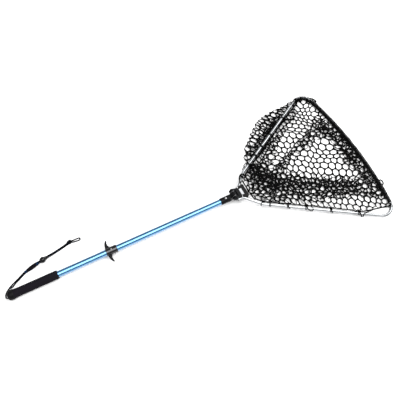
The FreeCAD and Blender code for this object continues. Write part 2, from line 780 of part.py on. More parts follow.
def make_lacing_ties():
    """Loops of thin cord along the arms that lash the rim cord to the hoop."""
    angle = size("arm_angle")
    level = -size("yoke_split")
    loop = tie_loop()
    ties = []
    for side, places in TIE_PLACES.items():
        for along in places:
            aside = side * (along + size("arm_apex")) * math.tan(math.radians(angle))
            turn = Rotation(Vector(0, 0, 1), side * angle)
            if side < 0:
                turn = turn.multiply(Rotation(Vector(0, 0, 1), 180))
            tie = loop.copy()
            tie.Placement = Placement(Vector(along, aside, level), turn)
            ties.append(tie)
    item = computed("lacing_ties", Part.makeCompound(ties))
    keep(item, "lacing_ties", HEAD_FRAME)


def shaft_down(offset):
    """The space below the hoop inside the line moved inwards by offset, down past the floor."""
    shaft = Part.Face(closed_inner_line(offset)).extrude(Vector(0, 0, -90))
    shaft.Placement = HEAD_FRAME
    return shaft


def slab(bottom, top):
    """The level space between two heights."""
    return Part.makeBox(900, 900, top - bottom, Vector(0, -450, bottom))


def below_hoop(drop):
    """A large block whose upper face lies below the hoop's plane by drop, in the floor frame."""
    block = Part.makeBox(900, 900, 300, Vector(-100, -450, -300 - size("yoke_split") - drop))
    block.Placement = HEAD_FRAME.multiply(block.Placement)
    return block


# the fold of net that lies out past the left arm, from the hinge pin: along, aside
FOLD_OUTLINE = [(100, 66), (112, 104), (142, 152), (196, 202), (276, 262), (362, 276), (432, 274),
                (452, 262), (436, 232), (150, 86)]


def make_net_bag():
    """The collapsed bag: a shallow tray below the hoop, open at the top, with a fold of it lying out
    past the left arm."""
    hollow = shaft_down(size("bag_offset") + size("bag_wall")).common(slab(size("bag_wall"), 60))
    tray = shaft_down(size("bag_offset")).common(slab(0, 60)).cut(hollow)
    corners = [Vector(size("hinge_x") + along, aside, 0) for along, aside in FOLD_OUTLINE]
    fold = Part.Face(Part.makePolygon(corners + corners[:1])).extrude(Vector(0, 0, size("fold_height")))
    fold = fold.common(below_hoop(8.0)).cut(hollow)
    item = computed("net_bag", tray.fuse(fold).removeSplitter())
    keep(item, "net_bag", FLOOR_FRAME)


# ---------------------------------------------------------------- wrist cord

def butt_point(along, aside):
    """A point level with the tube's axis, as floor frame numbers."""
    return tuple(TUBE_FRAME.multVec(Vector(along, aside, 0)))


# middle of the paired strands, measured from the hinge pin: along, aside, height
PAIR_ROUTE = [(-713.0, 44.4, 2.2), (-696.0, 54.2, 2.2), (-673.5, 60.6, 3.2), (-648.0, 64.4, 9.4),
              (-621.0, 70.2, 9.6), (-599.0, 76.2, 3.4), (-577.0, 81.2, 2.2), (-558.0, 85.6, 2.4),
              (-545.0, 88.2, 5.2)]

# a strand on its own, before it joins the other
STRAND_A_START = [(-763.5, -6.5, 15.0), (-763.0, 9.0, 9.8), (-756.5, 21.5, 3.8), (-744.0, 31.6, 2.2),
                  (-729.5, 38.8, 2.2)]
STRAND_B_START = [(-745.0, 23.0, 10.6), (-737.5, 26.2, 5.4), (-727.5, 35.0, 2.4)]

LOOP_ROUTE = [(-538.5, 91.0, 5.2), (-529.5, 91.6, 3.4), (-519.0, 92.2, 2.2), (-508.5, 92.4, 2.2),
              (-508.0, 84.4, 2.2), (-519.0, 84.4, 2.2), (-529.5, 85.6, 3.4), (-538.5, 86.8, 5.2)]


def from_hinge(route):
    return [(size("hinge_x") + x, y, z) for x, y, z in route]


def beside(route, distance):
    """The route moved to its left by a distance, level."""
    moved = []
    for i, (x, y, z) in enumerate(route):
        before = Vector(*route[max(i - 1, 0)])
        after = Vector(*route[min(i + 1, len(route) - 1)])
        left = Vector(before.y - after.y, after.x - before.x, 0)
        left.normalize()
        moved.append((x + left.x * distance, y + left.y * distance, z))
    return moved


def strand_route(side):
    """Centre line points of one strand: +1 leaves the butt's end, -1 leaves the cap's left side."""
    back = -size("butt_end")
    if side > 0:
        start = [butt_point(back + 8.0, -size("cord_hole_aside"))] + from_hinge(STRAND_A_START)
    else:
        hole = back + size("cap_depth") / 2 + 0.5
        start = [butt_point(hole, 9.0), butt_point(hole, 19.0)] + from_hinge(STRAND_B_START)
    return start + beside(from_hinge(PAIR_ROUTE), side * size("pair_half"))


def cord_tube(name, route):
    """A round cord along a route, with its arcs' radii and its volume checked and printed."""
    wire, radii = rounded_route(route)
    radius = size("cord_radius")
    tube = tube_along(wire, radius)
    ratio = tube.Volume / (math.pi * radius ** 2 * wire.Length)
    runs = [(Vector(*a) - Vector(*b)).Length for a, b in zip(route, route[1:])]
    print(name, "length", round(wire.Length, 1), "radii", [round(r, 1) for r in radii],
          "runs", [round(run, 1) for run in runs], "volume ratio", round(ratio, 4))
    return tube


BEAD_RUN = 3


def make_wrist_cord():
    """Two strands out of the butt cap, paired through a sleeve and a bead to a knot with a small loop."""
    strand_a = cord_tube("strand a", strand_route(1))
    strand_b = cord_tube("strand b", strand_route(-1))
    loop = cord_tube("end loop", from_hinge(LOOP_ROUTE))
    pair = from_hinge(PAIR_ROUTE)
    keep(computed("cord_strand_a", strand_a), "cord_strand_a", FLOOR_FRAME)
    keep(computed("cord_strand_b", strand_b), "cord_strand_b", FLOOR_FRAME)
    keep(computed("cord_end_loop", loop), "cord_end_loop", FLOOR_FRAME)

    along = Vector(*pair[BEAD_RUN + 1]) - Vector(*pair[BEAD_RUN])
    middle = Vector(*pair[BEAD_RUN]) + along * 0.53
    along.normalize()
    bead = Part.makeSphere(size("bead_radius"), middle)
    neck = Part.makeCylinder(5.6, size("bead_radius") + 2.5, middle, along)
    bead = bead.fuse(neck).removeSplitter().cut(strand_a).cut(strand_b)
    keep(computed("cord_bead", bead), "cord_bead", FLOOR_FRAME)

    keep(computed("cord_sleeve", flat_sleeve(pair).cut(strand_a).cut(strand_b)), "cord_sleeve", FLOOR_FRAME)
    knot_place = (Vector(*pair[-1]) + Vector(*from_hinge(LOOP_ROUTE)[0])) * 0.5
    keep(computed("cord_knot", knot_solid(knot_place).cut(strand_a).cut(strand_b).cut(loop)),
         "cord_knot", FLOOR_FRAME)
    print("strands apart", round(strand_a.distToShape(strand_b)[0], 3))


SLEEVE_STATIONS = [(1, 0.05, 4.5, 2.2), (1, 0.40, 5.3, 2.6), (1, 0.92, 6.8, 3.2), (2, 0.45, 6.8, 3.6),
                   (2, 0.97, 5.3, 3.4)]


def flat_sleeve(pair):
    """The sleeve round the pair: a loft through ellipses. Each station names its run of the pair's route,
    how far along that run it is, and its half width and half height."""
    rings = []
    for run, part, half_width, half_height in SLEEVE_STATIONS:
        start = Vector(*pair[run])
        ahead = Vector(*pair[run + 1]) - start
        centre = start + ahead * part
        centre.z = max(centre.z, half_height)
        ellipse = Part.Ellipse(Vector(0, 0, 0), half_width, half_height).toShape()
        heading = math.degrees(math.atan2(ahead.y, ahead.x))
        upright = Rotation(Vector(1, 0, 0), 90)
        facing = Rotation(Vector(0, 0, 1), heading + 90)
        ellipse.Placement = Placement(centre, facing.multiply(upright))
        rings.append(Part.Wire([ellipse]))
    return Part.makeLoft(rings, True)


def knot_solid(place):
    """The knot's outer shape, a flattened ball."""
    ball = Part.makeSphere(1.0)
    stretch = FreeCAD.Matrix()
    stretch.scale(size("knot_half_length"), size("knot_half_width"), size("knot_half_height"))
    ball = ball.transformGeometry(stretch)
    ball.translate(Vector(place.x, place.y - 0.6, size("knot_half_height")))
    return ball


# ---------------------------------------------------------------- build

make_handle_tube()
make_butt_cap()
make_grip()
make_tube_plug()
make_ferrule()
make_rivet()
make_hinge_pin()
make_friction_washers()
make_hinge_nut()
make_upper_shell()
make_lower_shell()
make_yoke_screws()
hoop_rivets = make_hoop_rivets()
make_badge()
make_hoop(hoop_rivets)
make_front_sleeve()
make_collar_liner()
make_hook_collar()
make_collar_screw()
make_rim_cord()
make_lacing_ties()
make_net_bag()
make_wrist_cord()

doc.recompute()
for item in NODES:
    states = [state for state in item.State if state in ("Invalid", "Error")]
    shape = item.Shape
    print(item.Label, "solids", len(shape.Solids), "volume", round(shape.Volume, 1), "valid", shape.isValid(),
          [round(v, 2) for v in (shape.BoundBox.XMin, shape.BoundBox.XMax, shape.BoundBox.YMin,
                                 shape.BoundBox.YMax, shape.BoundBox.ZMin, shape.BoundBox.ZMax)])
    if states or shape.isNull() or not shape.isValid():
        raise RuntimeError("%s is not sound: %s" % (item.Label, states))
for item in NODES:
    item.Shape.exportStep("parts/%s.step" % item.Label)
boxes = [item.Shape.optimalBoundingBox(False) for item in NODES if not item.Label.startswith("cord_")]
low = min(box.XMin for box in boxes)
high = max(box.XMax for box in boxes)
print("pin height", round(PIN_HEIGHT, 3), "head tilt", round(HEAD_TILT, 3))
print("x from", round(low, 3), "to", round(high, 3), "middle", round((low + high) / 2, 3),
      "half width", round(max(box.YMax for box in boxes), 2), round(min(box.YMin for box in boxes), 2),
      "z from", round(min(box.ZMin for box in boxes), 3), "to", round(max(box.ZMax for box in boxes), 3))
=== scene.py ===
import json
import math
import random

import bpy
import bmesh
from mathutils import Matrix, Vector, noise


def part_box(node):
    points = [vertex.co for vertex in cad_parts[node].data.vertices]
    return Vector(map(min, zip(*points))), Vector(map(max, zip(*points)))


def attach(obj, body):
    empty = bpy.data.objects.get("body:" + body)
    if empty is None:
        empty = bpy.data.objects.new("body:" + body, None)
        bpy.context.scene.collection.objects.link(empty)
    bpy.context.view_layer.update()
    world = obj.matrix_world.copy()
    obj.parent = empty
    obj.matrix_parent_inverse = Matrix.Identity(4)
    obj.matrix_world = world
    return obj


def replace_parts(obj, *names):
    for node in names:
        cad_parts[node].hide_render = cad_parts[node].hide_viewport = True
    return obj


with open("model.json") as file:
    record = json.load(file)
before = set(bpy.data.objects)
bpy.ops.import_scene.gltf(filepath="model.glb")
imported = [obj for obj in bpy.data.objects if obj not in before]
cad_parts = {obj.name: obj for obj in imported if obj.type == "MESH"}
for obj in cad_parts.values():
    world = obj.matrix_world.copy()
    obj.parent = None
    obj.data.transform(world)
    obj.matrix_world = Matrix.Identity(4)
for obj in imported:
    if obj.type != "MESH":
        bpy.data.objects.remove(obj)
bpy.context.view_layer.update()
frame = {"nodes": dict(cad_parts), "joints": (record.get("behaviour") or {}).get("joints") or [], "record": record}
MM = 0.001

# ---------------------------------------------------------------- places taken from the frame

joints = {joint["name"]: joint for joint in frame["joints"]}
PIN = Vector(joints["fold"]["pos_m"])
TUBE_AXIS = Vector(joints["collar_slide"]["axis"]).normalized()
TUBE_UP = Vector((-TUBE_AXIS.z, 0, TUBE_AXIS.x))
FRONT_BAR_RADIUS = 6 * MM
FRONT_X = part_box("front_sleeve")[1].x - FRONT_BAR_RADIUS
HOOP_DROP = 10 * MM
HEAD_SLOPE = (PIN.z - HOOP_DROP - FRONT_BAR_RADIUS) / (FRONT_X - PIN.x)
TUBE_DROP = 13 * MM


def hoop_height(x):
    """Height of the hoop's plane above the floor, x measured from the hinge pin."""
    return PIN.z - HOOP_DROP - x * HEAD_SLOPE


def on_tube(along, aside=0.0, up=0.0):
    """A point given along the handle tube from the hinge, beside its axis and above it."""
    return PIN + TUBE_AXIS * along + TUBE_UP * (up - TUBE_DROP) + Vector((0, aside, 0))


# ---------------------------------------------------------------- camera

LENS = 38.7
SENSOR_WIDTH = 36.0
CAMERA_RIGHT = Vector((0.88692, -0.45688, 0.06801))
CAMERA_UP = Vector((0.37911, 0.80411, 0.45791))
CAMERA_FROM_PIN = Vector((-0.48414, -0.50734, 1.25159))


def make_camera():
    data = bpy.data.cameras.new("camera")
    data.lens = LENS
    data.sensor_width = SENSOR_WIDTH
    camera = bpy.data.objects.new("camera", data)
    bpy.context.scene.collection.objects.link(camera)
    turn = Matrix((CAMERA_RIGHT, CAMERA_UP, CAMERA_RIGHT.cross(CAMERA_UP))).transposed().to_4x4()
    camera.matrix_world = Matrix.Translation(PIN + CAMERA_FROM_PIN) @ turn
    bpy.context.scene.camera = camera


make_camera()


# ---------------------------------------------------------------- materials

class Nodes:
    """A material's node tree with short ways to add to it."""

    def __init__(self, name, **shader):
        self.material = bpy.data.materials.new(name)
        self.material.use_nodes = True
        self.tree = self.material.node_tree
        self.shader = self.tree.nodes["Principled BSDF"]
        for socket, value in shader.items():
            self.shader.inputs[socket.replace("_", " ")].default_value = value

    def add(self, kind, **settings):
        node = self.tree.nodes.new(kind)
        for key, value in settings.items():
            if key in node.inputs:
                node.inputs[key].default_value = value
            else:
                setattr(node, key, value)
        return node

    def link(self, output, target):
        self.tree.links.new(output, target)

    def place(self, scale=(1, 1, 1), turn=(0, 0, 0)):
        """Object coordinates, stretched and turned."""
        coordinates = self.add("ShaderNodeTexCoord")
        mapping = self.add("ShaderNodeMapping")
        mapping.inputs["Scale"].default_value = scale
        mapping.inputs["Rotation"].default_value = turn
        self.link(coordinates.outputs["Object"], mapping.inputs["Vector"])
        return mapping.outputs["Vector"]

    def noise(self, where, scale, detail=4.0, roughness=0.55):
        node = self.add("ShaderNodeTexNoise", Scale=scale, Detail=detail, Roughness=roughness)
        self.link(where, node.inputs["Vector"])
        return node.outputs["Fac"]

    def ramp(self, value, stops):
        """A ramp through (position, colour) stops."""
        node = self.add("ShaderNodeValToRGB")
        ramp = node.color_ramp
        while len(ramp.elements) < len(stops):
            ramp.elements.new(0.5)
        for element, (position, colour) in zip(ramp.elements, stops):
            element.position = position
            element.color = (*colour, 1)
        self.link(value, node.inputs["Fac"])
        return node.outputs["Color"]

    def spread(self, value, low, high):
        """A value from 0.3 to 0.7 spread over low to high."""
        node = self.add("ShaderNodeMapRange")
        node.inputs["From Min"].default_value = 0.3
        node.inputs["From Max"].default_value = 0.7
        node.inputs["To Min"].default_value = low
        node.inputs["To Max"].default_value = high
        self.link(value, node.inputs["Value"])
        return node.outputs["Result"]

    def bump(self, height, strength, distance):
        node = self.add("ShaderNodeBump", Strength=strength, Distance=distance)
        self.link(height, node.inputs["Height"])
        return node.outputs["Normal"]

    def colour(self, output):
        self.link(output, self.shader.inputs["Base Color"])

    def roughness(self, output):
        self.link(output, self.shader.inputs["Roughness"])

    def normal(self, output):
        self.link(output, self.shader.inputs["Normal"])


def tube_frame_turn():
    """Turns the object's coordinates so that their X runs along the handle."""
    return (0, math.asin(TUBE_AXIS.z), 0)


def anodised_blue():
    """Brushed and anodised aluminium, light blue, with fine lines along the tube."""
    m = Nodes("anodised_blue", Metallic=1.0)
    where = m.place((6, 900, 900), tube_frame_turn())
    lines = m.noise(where, 1.0, 3.0)
    cloud = m.noise(m.place(), 14.0, 2.0)
    m.colour(m.ramp(cloud, [(0.3, (0.035, 0.21, 0.44)), (0.7, (0.045, 0.24, 0.49))]))
    m.roughness(m.spread(lines, 0.24, 0.34))
    m.normal(m.bump(lines, 0.06, 0.0002))
    m.shader.inputs["Coat Weight"].default_value = 1.0
    m.shader.inputs["Coat IOR"].default_value = 1.9
    m.shader.inputs["Coat Roughness"].default_value = 0.22
    return m.material


def bare_aluminium():
    """Satin drawn aluminium with fine scratches and a faint grey cloud."""
    m = Nodes("bare_aluminium", Metallic=1.0)
    cloud = m.noise(m.place(), 25.0, 3.0)
    scratch = m.noise(m.place((300, 300, 300)), 3.0, 6.0, 0.7)
    m.colour(m.ramp(cloud, [(0.3, (0.32, 0.33, 0.34)), (0.7, (0.42, 0.43, 0.44))]))
    m.roughness(m.spread(scratch, 0.22, 0.36))
    m.normal(m.bump(scratch, 0.08, 0.0002))
    return m.material


def steel():
    m = Nodes("zinc_plated_steel", Metallic=1.0)
    grain = m.noise(m.place((500, 500, 500)), 2.0, 4.0)
    m.colour(m.ramp(grain, [(0.3, (0.36, 0.36, 0.37)), (0.7, (0.52, 0.52, 0.53))]))
    m.roughness(m.spread(grain, 0.25, 0.42))
    m.normal(m.bump(grain, 0.1, 0.0002))
    return m.material


def foam():
    """Matte closed-cell foam: fine cells with a few larger pores."""
    m = Nodes("grip_foam", Metallic=0.0)
    cells = m.add("ShaderNodeTexVoronoi", Scale=1.0)
    m.link(m.place((900, 900, 900)), cells.inputs["Vector"])
    cloud = m.noise(m.place(), 30.0, 4.0)
    m.shader.inputs["Specular IOR Level"].default_value = 0.05
    m.colour(m.ramp(cloud, [(0.3, (0.0052, 0.0044, 0.0068)), (0.7, (0.0085, 0.0072, 0.0105))]))
    m.roughness(m.spread(cloud, 0.62, 0.80))
    m.normal(m.bump(cells.outputs["Distance"], 0.45, 0.0004))
    return m.material


def moulded(name, dark, light, rough_low, rough_high, grain_scale=1500, strength=0.25, shine=0.5):
    """Moulded plastic or rubber: close tones, a fine grain and smoother worn patches."""
    m = Nodes(name, Metallic=0.0)
    m.shader.inputs["Specular IOR Level"].default_value = shine
    cloud = m.noise(m.place(), 35.0, 3.0)
    grain = m.noise(m.place((grain_scale,) * 3), 1.0, 2.0)
    m.colour(m.ramp(cloud, [(0.3, dark), (0.7, light)]))
    m.roughness(m.spread(cloud, rough_low, rough_high))
    m.normal(m.bump(grain, strength, 0.0001))
    return m.material


def braid(name, ground, fleck):
    """Braided cord: slanting plaits with coloured flecks."""
    m = Nodes(name, Metallic=0.0)
    where = m.place((1, 1, 1))
    wave = m.add("ShaderNodeTexWave", Scale=330.0, Distortion=2.5)
    wave.inputs["Detail"].default_value = 1.0
    wave.bands_direction = "DIAGONAL"
    m.link(where, wave.inputs["Vector"])
    flecks = m.noise(where, 260.0, 1.0)
    m.colour(m.ramp(flecks, [(0.0, ground), (0.60, ground), (0.66, fleck)]))
    m.shader.inputs["Roughness"].default_value = 0.75
    m.shader.inputs["Specular IOR Level"].default_value = 0.05
    m.normal(m.bump(wave.outputs["Fac"], 0.6, 0.0006))
    return m.material


def woven_sleeve():
    """A woven sleeve, navy in some places and black in others."""
    m = Nodes("navy_sleeve", Metallic=0.0, Roughness=0.7)
    m.shader.inputs["Specular IOR Level"].default_value = 0.05
    patches = m.noise(m.place(), 60.0, 1.0)
    m.colour(m.ramp(patches, [(0.42, (0.004, 0.020, 0.060)), (0.52, (0.004, 0.003, 0.005))]))
    weave = m.add("ShaderNodeTexChecker", Scale=1400.0)
    m.link(m.place(), weave.inputs["Vector"])
    m.normal(m.bump(weave.outputs["Fac"], 0.4, 0.0004))
    return m.material


def blackened():
    """Blackened steel with a worn sheen."""
    m = Nodes("blackened_steel", Metallic=0.8)
    grain = m.noise(m.place((500, 500, 500)), 2.0, 4.0)
    m.colour(m.ramp(grain, [(0.3, (0.010, 0.010, 0.011)), (0.7, (0.022, 0.022, 0.024))]))
    m.roughness(m.spread(grain, 0.28, 0.45))
    m.normal(m.bump(grain, 0.1, 0.0002))
    return m.material


MATERIALS = {
    "anodised_tube": anodised_blue(),
    "bare_aluminium": bare_aluminium(),
    "steel": steel(),
    "foam": foam(),
    "black_steel": blackened(),
    "cap_rubber": moulded("butt_rubber", (0.003, 0.003, 0.0035), (0.006, 0.006, 0.0065), 0.40, 0.60,
                          shine=0.08),
    "black_nylon": moulded("black_nylon", (0.0025, 0.0025, 0.003), (0.005, 0.005, 0.0055), 0.34, 0.48,
                           shine=0.09),
    "gloss_black": moulded("gloss_black", (0.003, 0.003, 0.004), (0.006, 0.006, 0.007), 0.09, 0.15, 700, 0.05,
                           0.60),
    "badge": moulded("plain_badge", (0.36, 0.37, 0.39), (0.46, 0.47, 0.48), 0.30, 0.45),
    "net_rubber": moulded("net_rubber", (0.001, 0.001, 0.001), (0.003, 0.003, 0.003), 0.35, 0.55, shine=0.02),
    "net_cord": moulded("net_cord", (0.001, 0.001, 0.001), (0.002, 0.002, 0.002), 0.45, 0.60,
                        shine=0.015),
    "wrist_cord": braid("wrist_cord", (0.0015, 0.0015, 0.002), (0.008, 0.014, 0.04)),
    "cord_sleeve": woven_sleeve(),
    "bead": moulded("bead_plastic", (0.003, 0.003, 0.003), (0.006, 0.006, 0.007), 0.12, 0.20, 600, 0.05,
                    0.25),
}

for part in frame["record"]["subparts"]:
    node = frame["nodes"][part["node"]]
    node.data.materials.clear()
    node.data.materials.append(MATERIALS[part["material_slot"]])


def add_mesh(name, mesh, slot_name, body):
    piece = bpy.data.objects.new(name, mesh)
    bpy.context.scene.collection.objects.link(piece)
    return finish_piece(piece, slot_name, body)


def finish_piece(piece, slot_name, body):
    piece.data.materials.append(MATERIALS[slot_name])
    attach(piece, body)
    return piece


# ---------------------------------------------------------------- wrist cord

CORD_RADIUS = 2.0 * MM
PAIR_HALF = 2.15 * MM

# measured from the hinge pin in millimetres: along, aside, height
PAIR_ROUTE = [(-713.0, 44.4, 2.2), (-696.0, 54.2, 2.2), (-673.5, 60.6, 3.2), (-648.0, 64.4, 9.4),
              (-621.0, 70.2, 9.6), (-599.0, 76.2, 3.4), (-577.0, 81.2, 2.2), (-558.0, 85.6, 2.4),
              (-545.0, 88.2, 5.2)]
STRAND_A_START = [(-763.5, -6.5, 15.0), (-763.0, 9.0, 9.8), (-756.5, 21.5, 3.8), (-744.0, 31.6, 2.2),
                  (-729.5, 38.8, 2.2)]
STRAND_B_START = [(-745.0, 23.0, 10.6), (-737.5, 26.2, 5.4), (-727.5, 35.0, 2.4)]
LOOP_ROUTE = [(-538.5, 91.0, 5.2), (-529.5, 91.6, 3.4), (-519.0, 92.2, 2.2), (-508.5, 92.4, 2.2),
              (-508.0, 84.4, 2.2), (-519.0, 84.4, 2.2), (-529.5, 85.6, 3.4), (-538.5, 86.8, 5.2)]


def from_hinge(route):
    return [Vector((PIN.x + x * MM, y * MM, z * MM)) for x, y, z in route]


def beside(route, distance):
    """The route moved level to its left."""
    moved = []
    for i, point in enumerate(route):
        along = route[min(i + 1, len(route) - 1)] - route[max(i - 1, 0)]
        left = Vector((-along.y, along.x, 0)).normalized()
        moved.append(point + left * distance)
    return moved


def strand_route(side):
    """One strand: +1 leaves the butt's end, -1 leaves the cap's left side."""
    if side > 0:
        start = [on_tube(-749.0 * MM, -6.5 * MM)] + from_hinge(STRAND_A_START)
    else:
        start = [on_tube(-751.5 * MM, 9.0 * MM), on_tube(-751.5 * MM, 19.0 * MM)] + from_hinge(STRAND_B_START)
    return start + beside(from_hinge(PAIR_ROUTE), side * PAIR_HALF)


def nurbs(name, points, radius, slot_name, body, sides=6):
    data = bpy.data.curves.new(name, "CURVE")
    data.dimensions = "3D"
    data.bevel_depth = radius
    data.bevel_resolution = sides
    data.use_fill_caps = True
    data.resolution_u = 10
    spline = data.splines.new("NURBS")
    spline.points.add(len(points) - 1)
    for point, place in zip(spline.points, points):
        point.co = (*place, 1)
    spline.order_u = 3
    spline.use_endpoint_u = True
    piece = bpy.data.objects.new(name, data)
    bpy.context.scene.collection.objects.link(piece)
    return finish_piece(piece, slot_name, body)


def curve_length(piece):
    """Length of a curve's own line."""
    plain = piece.data.copy()
    plain.bevel_depth = 0
    holder = bpy.data.objects.new("measured", plain)
    mesh = bpy.data.meshes.new_from_object(holder)
    points = [vertex.co.copy() for vertex in mesh.vertices]
    bpy.data.objects.remove(holder)
    bpy.data.meshes.remove(mesh)
    return sum((b - a).length for a, b in zip(points, points[1:]))


# each ring of the sleeve: its run of the pair's route, how far along that run, half width and half height
SLEEVE_STATIONS = [(1, 0.05, 4.5, 2.2), (1, 0.40, 5.3, 2.6), (1, 0.92, 6.8, 3.2), (2, 0.45, 6.8, 3.6),
                   (2, 0.97, 5.3, 3.4)]


def sleeve_ring(centre, ahead, half_width, half_height, count):
    """One slightly creased oval ring across the sleeve."""
    left = Vector((-ahead.y, ahead.x, 0)).normalized()
    up = ahead.cross(left)
    ring = []
    for k in range(count):
        angle = 2 * math.pi * k / count
        out = left * (half_width * math.cos(angle)) + up * (half_height * math.sin(angle))
        crease = 0.06 * noise.noise((centre + out) * 400)
        ring.append(centre + out * (1 + crease))
    return ring


def make_cord_sleeve():
    """The soft sleeve that holds the two strands together, lofted through its stations."""
    pair = from_hinge(PAIR_ROUTE)
    stations = []
    for run, part, half_width, half_height in SLEEVE_STATIONS:
        ahead = pair[run + 1] - pair[run]
        centre = pair[run] + ahead * part
        centre.z = max(centre.z, half_height * MM)
        stations.append((centre, ahead.normalized(), half_width * MM, half_height * MM))
    count = 24
    mesh = bmesh.new()
    rings = []
    for (c0, a0, w0, h0), (c1, a1, w1, h1) in zip(stations, stations[1:]):
        for k in range(7):
            share = k / 7
            rings.append(sleeve_ring(c0.lerp(c1, share), a0.lerp(a1, share), w0 + (w1 - w0) * share,
                                     h0 + (h1 - h0) * share, count))
    rings.append(sleeve_ring(*stations[-1], count))
    laid = [[mesh.verts.new(place) for place in ring] for ring in rings]
    for ring, following in zip(laid, laid[1:]):
        for k in range(count):
            mesh.faces.new((ring[k], ring[(k + 1) % count], following[(k + 1) % count], following[k]))
    mesh.faces.new(list(reversed(laid[0])))
    mesh.faces.new(laid[-1])
    data = bpy.data.meshes.new("pair_sleeve")
    mesh.to_mesh(data)
    mesh.free()
    data.shade_smooth()
    sleeve = add_mesh("pair_sleeve", data, "cord_sleeve", "handle")
    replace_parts(sleeve, "cord_sleeve")
    return sleeve


def make_cord_knot():
    """The knot: the cord wound round both strands in three tight turns."""
    start = from_hinge(PAIR_ROUTE)[-1]
    stop = from_hinge(LOOP_ROUTE)[0]
    middle = (start + stop) / 2
    middle.z = 6.6 * MM
    ahead = (from_hinge(LOOP_ROUTE)[0] - from_hinge(PAIR_ROUTE)[-2])
    ahead.z = 0
    ahead.normalize()
    left = Vector((-ahead.y, ahead.x, 0))
    turns = []
    for k in range(27):
        angle = 2 * math.pi * k / 8
        swell = 1 - 0.25 * (k / 13 - 1) ** 2
        turns.append(middle + ahead * ((k / 26 - 0.5) * 11 * MM) + left * (5.3 * MM * swell * math.cos(angle))
                     + Vector((0, 0, 4.6 * MM * swell * math.sin(angle))))
    knot = nurbs("pair_knot", turns, CORD_RADIUS, "wrist_cord", "handle", 4)
    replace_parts(knot, "cord_knot")
    return knot


def make_wrist_cord():
    strand_a = nurbs("wrist_strand_a", strand_route(1), CORD_RADIUS, "wrist_cord", "handle")
    strand_b = nurbs("wrist_strand_b", strand_route(-1), CORD_RADIUS, "wrist_cord", "handle")
    loop = nurbs("wrist_end_loop", from_hinge(LOOP_ROUTE), CORD_RADIUS, "wrist_cord", "handle")
    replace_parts(strand_a, "cord_strand_a")
    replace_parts(strand_b, "cord_strand_b")
    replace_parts(loop, "cord_end_loop")
    knot = make_cord_knot()
    on_cord = [make_cord_sleeve(), frame["nodes"]["cord_bead"], knot]
    curve_length(strand_a)
    curve_length(strand_b)
    curve_length(loop)


make_wrist_cord()


# ---------------------------------------------------------------- the hoop's outline, seen from above

ARM_TURN = math.radians(30)
CORNER = 43 * MM
BOW = 1231.5 * MM
ALONG_ARM = Vector((math.cos(ARM_TURN), math.sin(ARM_TURN)))
INTO_HOOP = Vector((math.sin(ARM_TURN), -math.cos(ARM_TURN)))
ARM_FOOT = Vector((-40 * MM, 0))
SHOULDER_FOOT = Vector((30, 19)) * MM
SHOULDER_TOP = Vector((78, 68.1)) * MM
ALONG_SHOULDER = (SHOULDER_TOP - SHOULDER_FOOT).normalized()
INTO_SHOULDER = Vector((ALONG_SHOULDER.y, -ALONG_SHOULDER.x))
BOW_CENTRE = Vector((FRONT_X - PIN.x - BOW, 0))


def corner_centre():
    stand = ARM_FOOT + INTO_HOOP * CORNER
    reach = (stand - BOW_CENTRE).dot(ALONG_ARM)
    gap = BOW - CORNER
    to_bow = reach ** 2 - (stand - BOW_CENTRE).length_squared
    return stand + ALONG_ARM * (-reach + math.sqrt(to_bow + gap ** 2))


CORNER_CENTRE = corner_centre()
FRONT_TANGENT = (CORNER_CENTRE - BOW_CENTRE).normalized()
FRONT_ANGLE = math.atan2(FRONT_TANGENT.y, FRONT_TANGENT.x)
ARM_ANGLE = math.radians(120)


def from_hoop(point):
    """Distance inside the hoop's centre line, the direction inwards, and which part of it is nearest."""
    side = 1 if point.y >= 0 else -1
    p = Vector((point.x, abs(point.y)))
    to_corner = p - CORNER_CENTRE
    if to_corner.dot(ALONG_ARM) > 0 and to_corner.x * FRONT_TANGENT.y - to_corner.y * FRONT_TANGENT.x < 0:
        inward = -to_corner.normalized() if to_corner.length > 1e-9 else Vector((-1, 0))
        return CORNER - to_corner.length, Vector((inward.x, side * inward.y)), "corner"
    arm = (p - ARM_FOOT).dot(INTO_HOOP)
    shoulder = (p - SHOULDER_FOOT).dot(INTO_SHOULDER)
    to_bow = p - BOW_CENTRE
    front = BOW - to_bow.length
    least = min(arm, shoulder, front)
    if least == front:
        inward = -to_bow.normalized()
        return front, Vector((inward.x, side * inward.y)), "front"
    inward = INTO_HOOP if least == arm else INTO_SHOULDER
    return least, Vector((inward.x, side * inward.y)), "arm"


def left_half(offset, step):
    """Points of the hoop's line moved inwards, from the throat round to the middle of the front."""
    stops = [SHOULDER_FOOT + INTO_SHOULDER * offset]
    arm_start = ARM_FOOT + INTO_HOOP * offset
    run = arm_start - stops[0]
    cross = ALONG_SHOULDER.x * ALONG_ARM.y - ALONG_SHOULDER.y * ALONG_ARM.x
    stops.append(stops[0] + ALONG_SHOULDER * ((run.x * ALONG_ARM.y - run.y * ALONG_ARM.x) / cross))
    stops.append(CORNER_CENTRE - INTO_HOOP * (CORNER - offset))
    points = []
    for start, stop in zip(stops, stops[1:]):
        count = max(2, round((stop - start).length / step))
        points += [start.lerp(stop, k / count) for k in range(count)]
    for centre, radius, first, last in ((CORNER_CENTRE, CORNER - offset, ARM_ANGLE, FRONT_ANGLE),
                                        (BOW_CENTRE, BOW - offset, FRONT_ANGLE, 0.0)):
        count = max(2, round(radius * (first - last) / step))
        for k in range(count):
            angle = first + (last - first) * k / count
            points.append(centre + Vector((math.cos(angle), math.sin(angle))) * radius)
    return points


def hoop_line(offset, step):
    """The hoop's line moved inwards, from the left throat round the front to the right throat."""
    left = left_half(offset, step)
    middle = BOW_CENTRE + Vector((BOW - offset, 0))
    return left + [middle] + [Vector((point.x, -point.y)) for point in reversed(left)]


# ---------------------------------------------------------------- mesh bag

